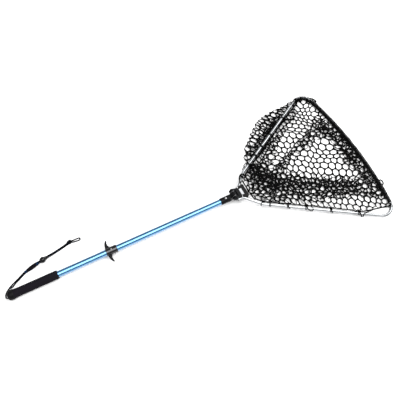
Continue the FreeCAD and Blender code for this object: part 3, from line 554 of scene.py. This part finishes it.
THROAT = 57 * MM
RIM_INSET = 9.5 * MM
PITCH = 21.5 * MM
STRAND_HALF = 2.2 * MM
STRAND_THICKNESS = 2.4 * MM
LAYER_GAP = 2.6 * MM
FLOOR_CLEARANCE = 1.5 * MM
WRAP_RADIUS = FRONT_BAR_RADIUS + 1.4 * MM
WRAP_START = WRAP_RADIUS + 3 * MM
WRAP_TURN = 3.4
UNDER_TUBE = 7.6 * MM
EDGE_CLIMB = 45 * MM
PILE_CLIMB = 40 * MM
RIPPLE = 1.6 * MM
PLEAT_REACH = 62 * MM
PLEAT_FADE = 25 * MM
PLEAT_LIFT_REACH = 34 * MM


def past_open_corner(point):
    """How far a point lies on the net's side of its free edge across the hoop's right front corner."""
    return point.y + 243 * MM + 0.1 * (point.x - 383 * MM)


def millimetres(points):
    return [Vector(point) * MM for point in points]


# Each pleat: its line on the floor, how far it gathers the net at each point of the line, how sharply,
# and which side of it lies on top.
PLEATS = [
    # along the lower arm
    (millimetres([(95, -20), (160, -60), (240, -85), (315, -110), (395, -150), (450, -185)]),
     [8, 18, 18, 18, 14, 6], 12.0, 1),
    # along the front bar
    (millimetres([(480, 140), (480, 90), (480, 0), (480, -90), (475, -160), (475, -215)]),
     [10, 20, 18, 16, 14, 4], 12.0, -1),
    # crease from the front's upper end towards the yoke
    (millimetres([(465, 120), (400, 110), (330, 95), (255, 55), (205, 30)]),
     [14, 14, 10, 10, 8], 8.0, 1),
    # small crease across the upper part
    (millimetres([(270, 185), (335, 150), (430, 120)]), [3, 8, 4], 6.0, 1),
    # beside the upper arm, inside and outside
    (millimetres([(110, 50), (180, 90), (250, 135), (330, 180), (400, 220)]), [8, 12, 10, 8, 4], 9.0, 1),
    (millimetres([(140, 120), (215, 165), (300, 215), (390, 260)]), [8, 20, 22, 8], 8.0, -1),
    # bunched near the yoke
    (millimetres([(140, 90), (140, 30), (130, -30)]), [8, 16, 8], 10.0, 1),
]

# places where the net is drawn together or spread: centre, reach, share
SWELLS = [(Vector((415, 185)) * MM, 80 * MM, 0.26), (Vector((350, -10)) * MM, 95 * MM, -0.14)]

# places where further folds of the bag lie on top: line, half width at each point, number of folds
PILES = [
    # on the lower arm
    (millimetres([(95, -5), (150, -30), (230, -60), (315, -95), (400, -135), (470, -180)]),
     [26, 52, 56, 48, 40, 26], 1),
    (millimetres([(100, 20), (150, -10), (225, -35), (315, -80), (395, -125), (445, -150)]),
     [20, 36, 26, 16, 14, 8], 2),
    # near the yoke
    (millimetres([(120, 90), (110, 60), (110, 20)]), [16, 24, 20], 2),
    (millimetres([(125, 75), (145, 50), (160, 15), (155, -15)]), [14, 30, 30, 18], 3),
    # along the front bar
    (millimetres([(460, 150), (480, 100), (485, 10), (490, -70), (490, -150), (490, -200)]),
     [26, 44, 32, 28, 28, 20], 1),
    (millimetres([(475, 130), (485, 90), (490, 10), (500, -70), (495, -130)]), [14, 28, 18, 14, 12], 2),
    # from the front's upper end to the yoke
    (millimetres([(430, 115), (390, 100), (355, 90)]), [34, 22, 16], 1),
    (millimetres([(355, 90), (305, 80), (255, 55), (210, 35)]), [14, 14, 18, 24], 1),
    # inside and outside the upper arm
    (millimetres([(145, 85), (205, 110), (240, 135), (290, 170), (350, 200), (410, 230)]),
     [34, 38, 24, 18, 16, 10], 1),
    (millimetres([(150, 120), (215, 160), (300, 205), (380, 245)]), [12, 22, 28, 14], 1),
    (millimetres([(165, 130), (230, 170), (300, 210), (365, 240)]), [10, 18, 22, 10], 2),
]

# how far the folded-over net lies out past the upper arm: along the arm, out from it
BULGE = [(0.160, 0.0), (0.180, 0.020), (0.205, 0.045), (0.25, 0.065), (0.31, 0.078), (0.37, 0.083),
         (0.415, 0.080), (0.46, 0.065), (0.50, 0.045), (0.55, 0.018), (0.59, 0.0)]


def smooth(value):
    value = min(1.0, max(0.0, value))
    return value * value * (3 - 2 * value)


def bulge_width(along):
    if along <= BULGE[0][0] or along >= BULGE[-1][0]:
        return 0.0
    for (a, wide_a), (b, wide_b) in zip(BULGE, BULGE[1:]):
        if along <= b:
            return wide_a + (wide_b - wide_a) * (along - a) / (b - a)
    return 0.0


def nearest_on(line, amounts, point):
    """Signed distance from a line, the direction across, the amount there and how far past its ends."""
    best = None
    for i in range(len(line) - 1):
        start, run = line[i], line[i + 1] - line[i]
        share = (point - start).dot(run) / run.length_squared
        held = min(1.0, max(0.0, share))
        offset = point - (start + run * held)
        if best is None or offset.length < best[0]:
            across = Vector((-run.y, run.x)).normalized()
            amount = amounts[i] + (amounts[i + 1] - amounts[i]) * held
            beyond = max(0.0, (share - 1) * run.length, -share * run.length)
            best = (offset.length, offset.dot(across), across, amount, beyond)
    return best[1:]


def gathered(point):
    """Where a point of the flat net lies once the pleats have gathered it, and how high it is lifted."""
    shift = Vector((0, 0))
    lift = 0.0
    depth, _, _ = from_hoop(point)
    hold = smooth((depth - 2 * MM) / (26 * MM)) if point.y < 0 or depth > 0 else 1.0
    for line, amounts, sharp, upper in PLEATS:
        distance, across, amount, beyond = nearest_on(line, amounts, point)
        sharp = sharp * MM
        amount = amount * MM * math.exp(-(beyond / PLEAT_FADE) ** 2)
        fade = math.exp(-(distance / PLEAT_REACH) ** 2)
        step = math.tanh(distance / sharp)
        shift -= across * amount * step * fade * hold
        pile = smooth(amount / (14 * MM)) * LAYER_GAP * (1 + upper * step)
        lift += pile * math.exp(-(distance / PLEAT_LIFT_REACH) ** 2)
    for centre, reach, share in SWELLS:
        away = point - centre
        shift -= away * share * math.exp(-(away.length / reach) ** 2) * hold
    return point + shift, lift


def waved(point, scale, seed):
    """A smooth random vector in the plane."""
    place = Vector((point.x / scale, point.y / scale, seed))
    return Vector((noise.noise(place), noise.noise(place + Vector((31.7, 12.9, 5.1)))))


def wrapped(flat, depth, inward, ripple):
    """A point of the net that lies over the front bar or the corner, held close round the tube."""
    turn = (WRAP_START - depth) / WRAP_RADIUS
    if turn > WRAP_TURN:
        return None
    centre = flat - inward * depth
    spot = centre + inward * (WRAP_RADIUS * math.cos(turn))
    top = hoop_height(flat.x) + WRAP_RADIUS * math.sin(turn) + 0.6 * MM * ripple
    return Vector((spot.x, spot.y, max(top, FLOOR_CLEARANCE)))


def turned_back(flat, folded, ripple):
    """A point of the net folded back over itself past the upper arm, on its way to the rim cord."""
    flat, lift = gathered(flat)
    depth, _, _ = from_hoop(flat)
    if depth > 16 * MM:
        return None
    edge_height = hoop_height(flat.x)
    height = FLOOR_CLEARANCE + lift + RIPPLE * (1 + ripple)
    height += LAYER_GAP * (0.8 + 1.2 * smooth(folded / (30 * MM)))
    height = min(height, max(edge_height - UNDER_TUBE, FLOOR_CLEARANCE))
    height += (edge_height - height) * smooth((depth - 4 * MM) / (14 * MM)) * 0.9
    return Vector((flat.x, flat.y, height))


def lay(point):
    """Where a point of the flat net lies in space, measured from the pin, or None where there is no net."""
    along = (point - ARM_FOOT).dot(ALONG_ARM)
    out = -(point - ARM_FOOT).dot(INTO_HOOP)
    wide = bulge_width(along) if point.y > 0 else 0.0
    if wide > 4 * MM and out > wide:
        ripple = noise.noise(Vector((point.x * 28, point.y * 28, 8.0)))
        folded = out - wide
        if folded > wide + 14 * MM:
            return None
        return turned_back(point + INTO_HOOP * (2 * folded), folded, ripple)
    flat, lift = gathered(point)
    depth, inward, part = from_hoop(flat)
    ripple = noise.noise(Vector((flat.x * 28, flat.y * 28, 3.0)))
    height = FLOOR_CLEARANCE + lift + RIPPLE * (1 + ripple)
    edge_height = hoop_height(flat.x)
    if part != "arm" and past_open_corner(flat) > -8 * MM and depth < WRAP_START:
        return wrapped(flat, depth, inward, ripple)
    open_depth = past_open_corner(flat) if flat.x > 0.36 and flat.y < 0 else 1.0
    if wide > 4 * MM:
        height = min(height, max(edge_height - 7.4 * MM, FLOOR_CLEARANCE))
    else:
        depth_to_rim = min(depth - RIM_INSET, open_depth)
        if depth_to_rim < -15 * MM:
            return None
        if depth_to_rim < 0:
            flat = flat - (inward if open_depth > depth - RIM_INSET else Vector((0, 1))) * depth_to_rim
        height += (edge_height - height) * (1 - smooth(depth_to_rim / EDGE_CLIMB))
    if flat.x < THROAT - 17 * MM:
        return None
    return Vector((max(flat.x, THROAT), flat.y, height))


def pile_room(point, folds):
    """How far inside a pile with at least this many folds a point lies, as a share of its half width."""
    best = -1.0
    for line, halves, most in PILES:
        if most < folds:
            continue
        distance, _, half, beyond = nearest_on(line, halves, point)
        reach = math.hypot(distance, beyond)
        best = max(best, 1 - reach / (half * MM))
    return best


def lay_on_pile(point, fold):
    """Where a point of one of the upper folds lies, measured from the pin."""
    depth, inward, part = from_hoop(point)
    flat = point.copy()
    limit = RIM_INSET - 1.5 * MM if part == "arm" else 2 * MM
    if point.y < 0 or point.x > 0.44 or depth > -2 * MM:
        if depth < limit - 9 * MM:
            return None
        if depth < limit:
            flat = flat + inward * (limit - depth)
    if flat.x < THROAT - 8 * MM or (flat.x > 0.36 and flat.y < 0 and past_open_corner(flat) < 0):
        return None
    flat.x = max(flat.x, THROAT)
    ripple = noise.noise(Vector((flat.x * 30, flat.y * 30, 11.0 + fold * 3)))
    height = FLOOR_CLEARANCE + (3.4 + 2.7 * fold) * MM + 2.0 * MM * ripple
    depth = max(depth, 0.0)
    if flat.y < 0 or from_hoop(flat)[0] > 0:
        height += (max(hoop_height(flat.x), height) - height) * (1 - smooth(depth / PILE_CLIMB)) * 0.8
    else:
        height = min(height, max(hoop_height(flat.x) - UNDER_TUBE, FLOOR_CLEARANCE))
    return Vector((flat.x, flat.y, height))


def hexagon_points(column, row, pitch):
    """The centre of one cell and twelve places round it: corners and edge middles in turn."""
    radius = pitch / math.sqrt(3)
    centre = Vector((1.5 * radius * column, pitch * (row + 0.5 * (column % 2))))
    angles = [math.pi / 3 * k for k in range(6)]
    corners = [centre + Vector((math.cos(angle), math.sin(angle))) * radius for angle in angles]
    places = []
    for k in range(6):
        places.append(corners[k])
        places.append((corners[k] + corners[(k + 1) % 6]) / 2)
    return centre, places


CORNER_SWELL = 1.5
MOST_FILLED = 0.70


class NetMaker:
    """Builds a net of rounded six-sided holes, cell by cell."""

    def __init__(self):
        self.mesh = bmesh.new()

    def layer(self, pitch, place_vertex, wanted=None):
        """Lay one layer: place_vertex turns a place in the flat lattice into a place in space, or None."""
        laid = {}

        def vertex(place):
            key = (round(place.x * 1e5), round(place.y * 1e5))
            if key not in laid:
                spot = place_vertex(place)
                laid[key] = self.mesh.verts.new(spot + Vector((PIN.x, 0, 0))) if spot else None
            return laid[key]

        radius = pitch / math.sqrt(3)
        for column in range(round(-0.35 / (1.5 * radius)), round(0.72 / (1.5 * radius))):
            for row in range(round(-0.5 / pitch), round(0.62 / pitch)):
                centre, places = hexagon_points(column, row, pitch)
                if wanted and not wanted(centre):
                    continue
                ring = [vertex(place) for place in places]
                if None not in ring:
                    self.cell(ring)

    def cell(self, ring):
        middle = sum((v.co for v in ring), Vector()) / 12
        inner = []
        for k, v in enumerate(ring):
            towards = middle - v.co
            width = STRAND_HALF * (CORNER_SWELL if k % 2 == 0 else 1.0)
            share = min(MOST_FILLED, width / max(towards.length, 1e-6))
            inner.append(self.mesh.verts.new(v.co + towards * share))
        for k in range(12):
            following = (k + 1) % 12
            self.mesh.faces.new((ring[k], ring[following], inner[following], inner[k]))

    def finish(self, name):
        loose = [v for v in self.mesh.verts if not v.link_faces]
        bmesh.ops.delete(self.mesh, geom=loose, context="VERTS")
        data = bpy.data.meshes.new(name)
        self.mesh.to_mesh(data)
        self.mesh.free()
        data.shade_smooth()
        piece = add_mesh(name, data, "net_rubber", "head")
        thick = piece.modifiers.new("thickness", "SOLIDIFY")
        thick.thickness = STRAND_THICKNESS
        thick.offset = 0
        smoothing = piece.modifiers.new("round", "SUBSURF")
        smoothing.levels = 1
        smoothing.render_levels = 1
        return piece


def base_place(place):
    return lay(place + waved(place, 0.055, 2.0) * (9 * MM) + waved(place, 0.012, 7.0) * (4.0 * MM))


def fold_layer(net, fold, turn, pitch):
    """One further fold over the piles, its lattice turned and warped in its own way."""
    rotation = Matrix.Rotation(math.radians(turn), 2)

    def moved(place):
        spot = rotation @ place
        return spot + waved(spot, 0.045, 20.0 + fold) * (16 * MM) + waved(spot, 0.012, 30.0 + fold) * (5 * MM)

    def wanted(centre):
        spot = moved(centre)
        ragged = 0.22 * noise.noise(Vector((spot.x * 45, spot.y * 45, fold)))
        return pile_room(spot, fold) + ragged > 0.16 * (fold - 1)

    net.layer(pitch, lambda place: lay_on_pile(moved(place), fold), wanted)


def make_bag():
    """The collapsed bag: one layer over the whole mouth, and folds piled on it."""
    net = NetMaker()
    net.layer(PITCH, base_place)
    fold_layer(net, 1, 17, 19.5 * MM)
    fold_layer(net, 2, -25, 18.5 * MM)
    fold_layer(net, 3, 44, 17.0 * MM)
    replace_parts(net.finish("mesh_bag"), "net_bag")


make_bag()


# ---------------------------------------------------------------- cords that hold the bag on the hoop

def lifted(point, above=0.0):
    """A point of the hoop's plane as a place in the world, raised above the plane."""
    return Vector((PIN.x + point.x, point.y, hoop_height(point.x) + above))


# the net's free edge across the open corner, from the front bar back to the lower arm
FREE_EDGE = millimetres([(505, -235), (500, -250), (486, -260), (466, -252), (425, -243), (388, -236),
                         (362, -225)])
RIM_CORD_RADIUS = 2.2 * MM


def make_rim_cord():
    """From the left of the throat along the arm and the front, across the open corner and back."""
    rng = random.Random(5)
    kept = []
    for p in hoop_line(RIM_INSET, 14 * MM):
        if p.x > 0.355 and p.y < -0.218:
            kept += FREE_EDGE if FREE_EDGE[0] not in kept else []
        elif p.x > THROAT:
            kept.append(p)
    kept.append(Vector((THROAT, kept[-1].y + 4 * MM)))
    kept.append(Vector((THROAT, kept[0].y)))
    points = []
    for p in kept:
        shake = Vector((rng.uniform(-1, 1), rng.uniform(-1, 1))) * (0.9 * MM)
        points.append(lifted(p + shake, rng.uniform(-0.8, 0.8) * MM))
    rim = nurbs("rim_cord", points, RIM_CORD_RADIUS, "net_cord", "head", 3)
    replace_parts(rim, "net_rim_cord")


# how far along each arm the ties are, left and right, in millimetres
TIE_PLACES = {1: (112.0, 153.0, 195.0, 253.0, 339.0), -1: (98.0, 151.0, 205.0, 280.0, 365.0)}

# the loose ends of the ties on the lower arm, seen from above
TAILS = [[(84, -65), (70, -62), (66, -72)], [(148, -100), (149, -111), (151, -122)],
         [(210, -136), (205, -150), (214, -162), (226, -156), (222, -142)], [(280, -184), (277, -197)],
         [(366, -230), (366, -240), (363, -250)]]
TIE_RADIUS = 1.45 * MM
TAIL_RADIUS = 1.8 * MM
TIE_HEIGHT = 6.8 * MM


def make_ties():
    """Each tie goes twice round the hoop and the rim cord; on the lower arm its end lies over the tube."""
    ties = []
    for side, places in TIE_PLACES.items():
        for number, along in enumerate(places):
            along = along * MM
            middle = Vector((along, side * (along + 40 * MM) * math.tan(ARM_TURN)))
            inward = Vector((INTO_HOOP.x, side * INTO_HOOP.y))
            forward = Vector((ALONG_ARM.x, side * ALONG_ARM.y))
            turns = []
            for k in range(19):
                angle = 2 * math.pi * k / 8 - 0.6
                across = inward * ((3.4 + 9.6 * math.cos(angle)) * MM)
                spot = middle + across + forward * ((0.55 * k - 5) * MM)
                turns.append(lifted(spot, TIE_HEIGHT * math.sin(angle)))
            name = "tie_%s_%d" % ("left" if side > 0 else "right", number)
            ties.append(nurbs(name, turns, TIE_RADIUS, "net_cord", "head", 2))
            if side < 0:
                tail = [lifted(middle + inward * (9 * MM), 3 * MM),
                        lifted(middle + inward * (4 * MM), TIE_HEIGHT)]
                ends = millimetres(TAILS[number])
                for k, end in enumerate(ends):
                    tail.append(lifted(end, (7.0 - 5.0 * k / len(ends)) * MM))
                ties.append(nurbs(name + "_tail", tail, TAIL_RADIUS, "net_cord", "head", 3))
    return ties


# where the binding is bunched into lumps
LUMPS = millimetres([(534, 75), (529, 35), (534, -10), (533, -36), (531, -90), (516, 225), (500, 255),
                     (485, 262), (440, 268)])
BINDING_RADIUS = 1.3 * MM
BINDING_STEP = 1.1 * MM
STEPS_PER_TURN = 5.3


def make_front_binding():
    """The net's edge bound closely round the front bar and the left corner, with lumps here and there."""
    rng = random.Random(23)
    whole = hoop_line(0, BINDING_STEP)
    first = next(k for k, p in enumerate(whole) if p.x > 0.405)
    last = next(k for k, p in enumerate(whole) if p.x > 0.45 and p.y < -0.264)
    points = []
    for k, p in enumerate(whole[first:last]):
        inward = from_hoop(p + Vector((-1 * MM, 0)))[1]
        on_sleeve = p.x > 0.495 and abs(p.y) < 0.246
        lump = max(math.exp(-((p - place).length / (9 * MM)) ** 2) for place in LUMPS)
        radius = ((6.0 if on_sleeve else 5.0) + 0.7 + 3.4 * lump + rng.uniform(0, 0.5)) * MM
        angle = 2 * math.pi * k / STEPS_PER_TURN
        height = max(hoop_height(p.x) + radius * math.sin(angle), 1.6 * MM)
        spot = p + inward * (radius * math.cos(angle))
        points.append(Vector((PIN.x + spot.x, spot.y, height)))
    nurbs("front_binding", points, BINDING_RADIUS, "net_cord", "head", 1)


# loose bits of cord, each with its points (along, aside, height) and its radius in millimetres
STRAYS = {
    # a curl beside the yoke
    "throat_curl": ([(76, 32, 30), (73, 44, 37), (69, 58, 41), (58, 58, 43), (48, 48, 42), (44, 32, 38)],
                    2.6),
    "throat_hook": ([(57, 54, 41), (63, 50, 40), (66, 42, 34)], 2.2),
    # a loop of net standing out past the front bar
    "front_loop": ([(514, -160, 10), (524, -156, 6), (531, -164, 3), (528, -174, 2.6), (519, -179, 5),
                    (513, -172, 10)], 2.0),
    # loops standing out past the left corner
    "corner_loop_front": ([(478, 246, 12), (484, 257, 9), (495, 262, 7), (508, 258, 5), (515, 246, 4),
                           (513, 234, 6), (505, 238, 12)], 2.3),
    "corner_loop_back": ([(430, 256, 15), (436, 268, 10), (448, 275, 6), (462, 277, 5), (470, 270, 7),
                          (461, 263, 13), (450, 258, 16)], 2.3),
    # the branch that ties the free edge to the lower arm
    "corner_branch": ([(412, -241, 13), (400, -243, 17), (388, -245, 19), (378, -243, 19), (372, -250, 10)],
                      2.0),
}


def make_strays():
    for name, (points, radius) in STRAYS.items():
        places = [Vector((PIN.x + x * MM, y * MM, z * MM)) for x, y, z in points]
        nurbs(name, places, radius * MM, "net_cord", "head", 3)


make_rim_cord()
tie_pieces = make_ties()
for tie in tie_pieces:
    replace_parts(tie, "lacing_ties")
make_front_binding()
make_strays()


# ---------------------------------------------------------------- stage

FLOOR_HALF = 6.0
FLOOR_GAP = 0.2 * MM


def make_stage():
    data = bpy.data.meshes.new("floor")
    corners = [(x * FLOOR_HALF, y * FLOOR_HALF, 0) for x, y in ((-1, -1), (1, -1), (1, 1), (-1, 1))]
    data.from_pydata(corners, [], [(0, 1, 2, 3)])
    floor = bpy.data.objects.new("floor", data)
    bpy.context.scene.collection.objects.link(floor)
    floor.location.z = -FLOOR_GAP
    m = Nodes("pale_floor", Roughness=0.9)
    m.shader.inputs["Base Color"].default_value = (0.93, 0.93, 0.93, 1)
    floor.data.materials.append(m.material)


def add_area(name, place, target, width, height, power):
    data = bpy.data.lights.new(name, "AREA")
    data.shape = "RECTANGLE"
    data.size = width
    data.size_y = height
    data.energy = power
    light = bpy.data.objects.new(name, data)
    bpy.context.scene.collection.objects.link(light)
    light.location = place
    light.rotation_euler = (Vector(target) - Vector(place)).to_track_quat("-Z", "Y").to_euler()


def make_lights():
    world = bpy.data.worlds.new("studio")
    bpy.context.scene.world = world
    world.use_nodes = True
    background = world.node_tree.nodes["Background"]
    background.inputs["Color"].default_value = (1, 1, 1, 1)
    background.inputs["Strength"].default_value = 0.35
    add_area("overhead", (0.3, -0.6, 2.3), (0.3, -0.3, 0), 3.4, 1.9, 112)
    add_area("far", (2.2, 1.0, 2.3), (0.5, 0.1, 0), 1.3, 1.3, 42)
    bpy.context.scene.view_settings.view_transform = "Standard"


make_stage()
make_lights()
